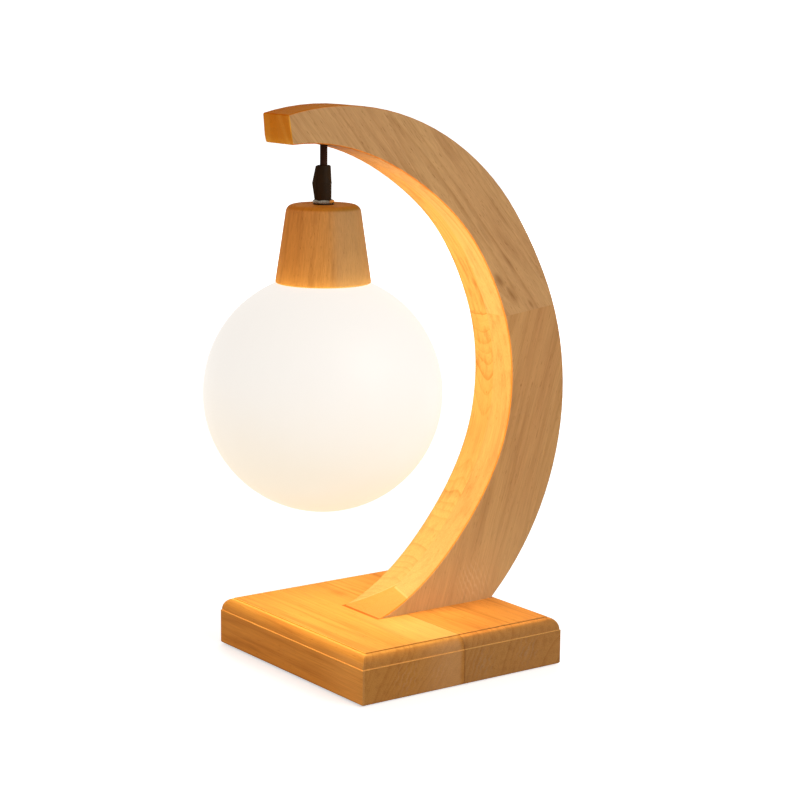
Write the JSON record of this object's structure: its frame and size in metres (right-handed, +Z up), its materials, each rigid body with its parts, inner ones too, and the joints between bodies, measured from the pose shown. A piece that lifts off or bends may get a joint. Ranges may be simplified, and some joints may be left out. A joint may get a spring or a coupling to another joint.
{
  "type": "table lamp",
  "caption": "Table lamp with a wooden crescent arm on a moulded base and a glass globe hanging on a short cord from a turned wooden cup",
  "frame": {"origin": "On the surface that the lamp stands on, under the middle of the base. The crescent arm lies in the XZ plane, with the globe on its -X side.", "axes": "+Z up. X runs from the globe's side (-X, front) to the back of the arm (+X, where the mains inlet is). Y is the depth of the base; left is +Y."},
  "size_m": [0.2554, 0.163, 0.3581],
  "materials": {
    "front_board": "clear satin lacquer",
    "rear_board": "clear satin lacquer",
    "arm_left": "clear satin lacquer",
    "arm_right": "clear satin lacquer",
    "dowel_wood": "fluted, unfinished",
    "turned_wood": "clear satin lacquer",
    "felt": "pressed felt",
    "black_cord": "glossy extruded sheath",
    "black_plastic": "moulded, fine matt grain",
    "white_plastic": "moulded",
    "chrome": "bright nickel-chrome plate",
    "zinc_steel": "bright zinc plate",
    "brass": "turned",
    "copper": "stranded and tinned at the ends",
    "ceramic": "glazed steatite",
    "opal_glass": "opal, smooth, lit from inside",
    "bulb_cover": "frosted diffuser",
    "silicone": "moulded silicone"
  },
  "bodies": {
    "stand": {"base_front_board": "front_board", "base_rear_board": "rear_board", "foot_pad_front_left": "felt", "foot_pad_front_right": "felt", "foot_pad_rear_left": "felt", "foot_pad_rear_right": "felt", "pocket_cover": "black_plastic", "cover_screw_1": "zinc_steel", "cover_screw_2": "zinc_steel", "cover_screw_3": "zinc_steel", "cover_screw_4": "zinc_steel", "arm_washer_front": "zinc_steel", "arm_screw_front": "zinc_steel", "arm_washer_rear": "zinc_steel", "arm_screw_rear": "zinc_steel", "terminal_block": "white_plastic", "terminal_barrel_live": "brass", "terminal_barrel_neutral": "brass", "terminal_screw_1": "zinc_steel", "terminal_screw_2": "zinc_steel", "terminal_screw_3": "zinc_steel", "terminal_screw_4": "zinc_steel", "lead_tail_live": "copper", "lead_tail_neutral": "copper", "inlet_bush": "black_plastic", "arm_upper_left": "arm_left", "arm_lower_left": "arm_left", "arm_upper_right": "arm_right", "arm_lower_right": "arm_right", "arm_dowel_left": "dowel_wood", "arm_dowel_right": "dowel_wood", "cord_stop": "zinc_steel", "arm_cord": "black_cord"},
    "cord": {"hanging_cord": "black_cord"},
    "pendant": {"holder_cord": "black_cord", "grip_cap": "black_plastic", "grip_body": "black_plastic", "grip_screw": "zinc_steel", "hex_nut": "chrome", "cup_washer": "chrome", "nipple": "zinc_steel", "lock_nut": "zinc_steel", "wooden_cup": "turned_wood", "globe_carrier": "zinc_steel", "holder_bracket": "zinc_steel", "lampholder": "ceramic", "holder_screw_1": "zinc_steel", "holder_screw_2": "zinc_steel", "holder_wire_live": "copper", "holder_wire_neutral": "copper"},
    "seal": {"globe_seal": "silicone"},
    "glass": {"globe": "opal_glass"},
    "bulb": {"bulb_base": "white_plastic", "bulb_cover": "bulb_cover", "bulb_pin_1": "zinc_steel", "bulb_pin_2": "zinc_steel"}
  },
  "joints": [
    {"name": "pendant_swing", "type": "hinge", "parent": "stand", "child": "cord", "pos_m": [-0.05243, 0, 0.3337], "axis": [0, -1, 0], "range_deg": [-40, 21]},
    {"name": "pendant_sway", "type": "hinge", "parent": "cord", "child": "pendant", "pos_m": [-0.05243, 0, 0.321], "axis": [1, 0, 0], "range_deg": [-40, 40]},
    {"name": "globe_travel", "type": "slide", "parent": "pendant", "child": "seal", "axis": [0, 0, -1], "range_m": [0, 0.012]},
    {"name": "globe_turn", "type": "hinge", "parent": "seal", "child": "glass", "pos_m": [-0.05243, 0, 0.1793], "axis": [0, 0, -1], "range_deg": [0, 1080]},
    {"name": "bulb_pull", "type": "slide", "parent": "pendant", "child": "bulb", "axis": [0, 0, -1], "range_m": [0, 0.012]}
  ],
  "couplings": [
    {"joint": "globe_travel", "follows": "globe_turn", "m_per_rad": 0.00063662}
  ]
}
